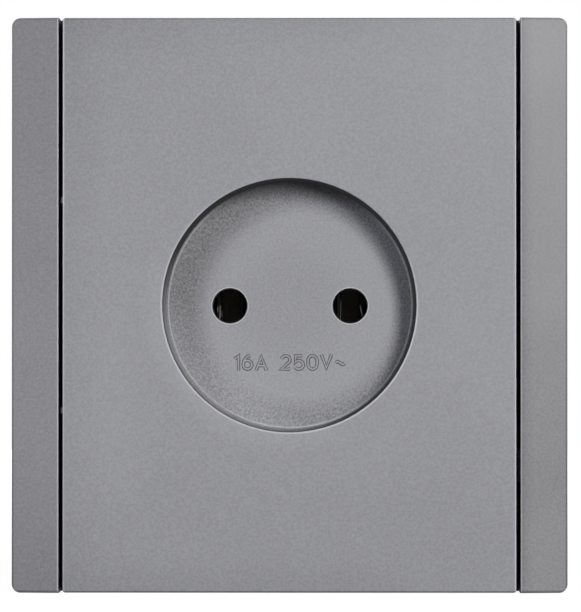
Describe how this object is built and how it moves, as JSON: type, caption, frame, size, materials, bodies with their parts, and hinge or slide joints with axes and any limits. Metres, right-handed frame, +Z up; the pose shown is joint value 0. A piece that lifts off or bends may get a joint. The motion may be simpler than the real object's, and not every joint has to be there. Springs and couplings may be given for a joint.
{
  "type": "ungrounded wall socket",
  "caption": "Flush wall socket for round-pin plugs without earth: clip-on face panel with a round plug well, trim frame, steel strap, contact base and swing-out claws.",
  "frame": {"origin": "middle of the two box-screw slots, on the back of the mounting strap, which is the wall surface", "axes": "+X to the right and +Z up as seen from the room, +Y into the wall"},
  "size_m": [0.0866, 0.0366, 0.0896],
  "materials": {
    "silver_plastic": "silver-grey metallic paint, satin, finely grained",
    "black_plastic": "black moulded plastic, fine spark-eroded grain",
    "zinc_sheet": "zinc-plated steel sheet, satin, with rolling marks",
    "zinc_screw": "bright zinc plating",
    "contact_brass": "rolled brass, satin",
    "rivet_brass": "upset brass, satin"
  },
  "bodies": {
    "housing": {"face_panel": "silver_plastic", "trim_frame": "silver_plastic", "mounting_strap": "zinc_sheet", "contact_base": "black_plastic", "rear_cover": "black_plastic", "rear_cover_screw": "zinc_screw", "contact_left": "contact_brass", "contact_right": "contact_brass", "clamp_plate_left": "zinc_screw", "clamp_plate_right": "zinc_screw", "terminal_screw_left": "zinc_screw", "terminal_screw_right": "zinc_screw", "claw_pin_left": "zinc_screw", "claw_pin_right": "zinc_screw", "base_rivet_lower_left": "rivet_brass", "base_rivet_lower_right": "rivet_brass", "base_rivet_upper_left": "rivet_brass", "base_rivet_upper_right": "rivet_brass"},
    "left_claw": {"claw_left": "zinc_sheet"},
    "right_claw": {"claw_right": "zinc_sheet"},
    "left_claw_screw": {"claw_screw_left": "zinc_screw"},
    "right_claw_screw": {"claw_screw_right": "zinc_screw"}
  },
  "joints": [
    {"name": "left_screw_turn", "type": "hinge", "parent": "housing", "child": "left_claw_screw", "pos_m": [-0.02945, 0, 0], "axis": [0, 1, 0], "range_deg": [0, 1440]},
    {"name": "right_screw_turn", "type": "hinge", "parent": "housing", "child": "right_claw_screw", "pos_m": [0.02945, 0, 0], "axis": [0, 1, 0], "range_deg": [0, 1440]},
    {"name": "left_claw_swing", "type": "hinge", "parent": "housing", "child": "left_claw", "pos_m": [-0.02495, 0.0034, 0], "axis": [0, 0, 1], "range_deg": [0, 24]},
    {"name": "right_claw_swing", "type": "hinge", "parent": "housing", "child": "right_claw", "pos_m": [0.02495, 0.0034, 0], "axis": [0, 0, -1], "range_deg": [0, 24]}
  ],
  "couplings": [
    {"joint": "left_claw_swing", "follows": "left_screw_turn", "ratio": 0.016667},
    {"joint": "right_claw_swing", "follows": "right_screw_turn", "ratio": 0.016667}
  ]
}
